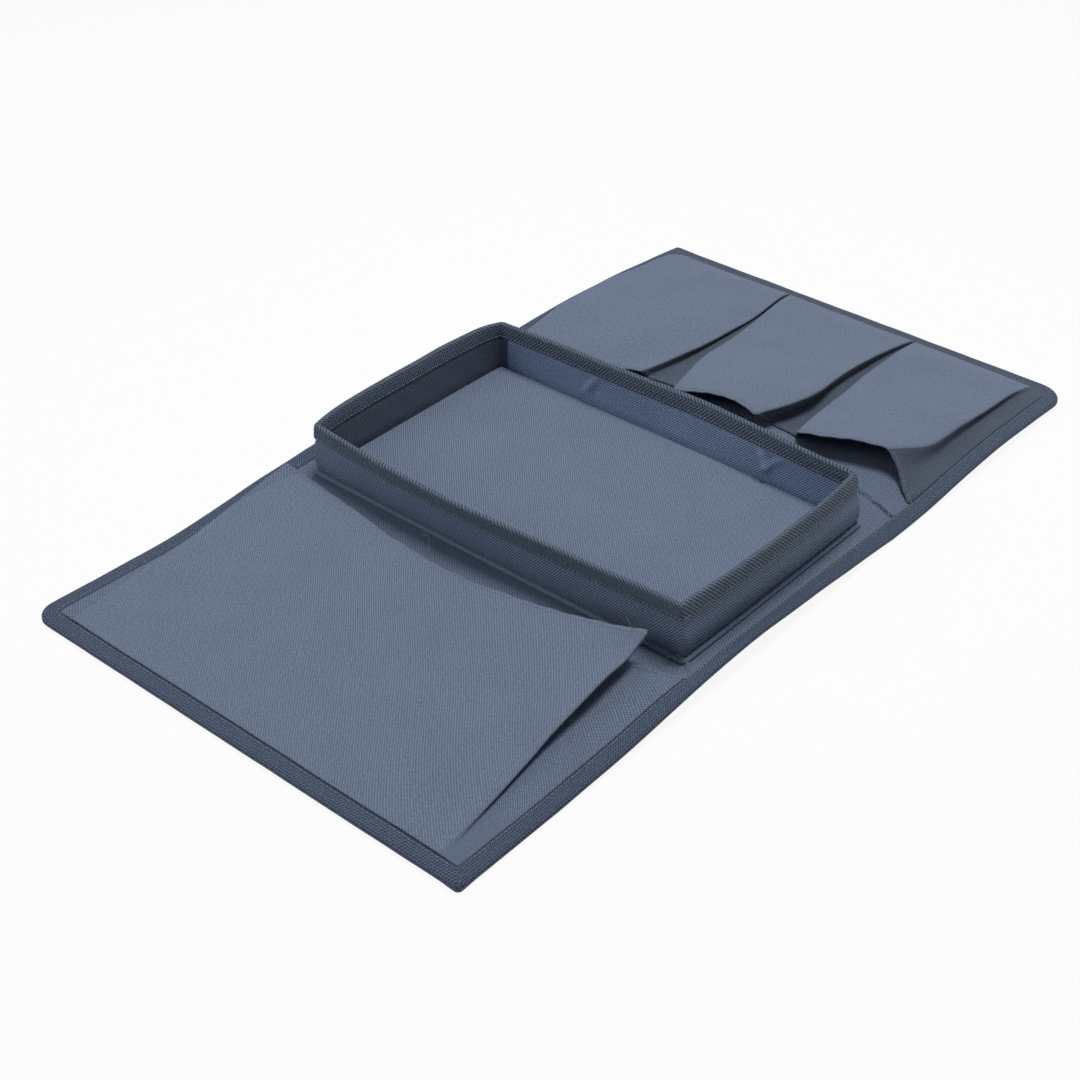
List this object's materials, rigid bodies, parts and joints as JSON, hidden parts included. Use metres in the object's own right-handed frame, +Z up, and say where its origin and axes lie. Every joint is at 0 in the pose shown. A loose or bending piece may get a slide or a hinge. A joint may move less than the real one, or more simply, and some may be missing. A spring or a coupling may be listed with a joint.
{
  "type": "sofa arm tray",
  "caption": "Stiff-walled fabric tray sewn to a long cloth panel whose ends fold down over a sofa arm and carry open-topped pleated pockets.",
  "frame": {"origin": "middle of the tray's underside, on the plane that the object rests on", "axes": "+X along the tray's long side, across the panel; +Y along the panel, from the flap with one wide pocket to the flap with the smaller pockets; +Z up, out of the tray"},
  "size_m": [0.353, 0.6345, 0.045],
  "materials": {
    "cloth": "matt plain weave",
    "edge_webbing": "matt woven tape",
    "rim_webbing": "matt woven tape",
    "board": "matt",
    "padding": "matt"
  },
  "bodies": {
    "tray": {"centre_back_cloth": "cloth", "base_board": "board", "centre_interlining": "padding", "centre_face_cloth": "cloth", "floor_board": "board", "floor_pad": "padding", "floor_cloth": "cloth", "wall_board_near": "board", "wall_board_far": "board", "wall_board_left": "board", "wall_board_right": "board", "wall_cloth_near": "cloth", "wall_cloth_far": "cloth", "wall_cloth_left": "cloth", "wall_cloth_right": "cloth", "wall_lining_near": "cloth", "wall_lining_far": "cloth", "wall_lining_left": "cloth", "wall_lining_right": "cloth", "rim_tape_near": "rim_webbing", "rim_tape_far": "rim_webbing", "rim_tape_left": "rim_webbing", "rim_tape_right": "rim_webbing", "foot_welt_near": "cloth", "foot_welt_far": "cloth", "foot_welt_left": "cloth", "foot_welt_right": "cloth", "centre_edge_tape_left": "edge_webbing", "centre_edge_tape_right": "edge_webbing"},
    "near_flap": {"near_back_cloth": "cloth", "near_interlining": "padding", "near_face_cloth": "cloth", "near_edge_tape_left": "edge_webbing", "near_edge_tape_right": "edge_webbing", "near_edge_tape_end": "edge_webbing", "near_pocket_front": "cloth", "near_pocket_gusset_left": "cloth", "near_pocket_gusset_right": "cloth"},
    "far_flap": {"far_back_cloth": "cloth", "far_interlining": "padding", "far_face_cloth": "cloth", "far_edge_tape_left": "edge_webbing", "far_edge_tape_right": "edge_webbing", "far_edge_tape_end": "edge_webbing", "far_pocket_front_1": "cloth", "far_pocket_front_2": "cloth", "far_pocket_front_3": "cloth", "far_pocket_gusset_left": "cloth", "far_pocket_gusset_right": "cloth", "far_pocket_pleat_12": "cloth", "far_pocket_pleat_23": "cloth"}
  },
  "joints": [
    {"name": "near_fold", "type": "hinge", "parent": "tray", "child": "near_flap", "pos_m": [0, -0.098, 0.0026], "axis": [1, 0, 0], "range_deg": [-20, 90]},
    {"name": "far_fold", "type": "hinge", "parent": "tray", "child": "far_flap", "pos_m": [0, 0.098, 0.0026], "axis": [-1, 0, 0], "range_deg": [-55, 90]}
  ]
}
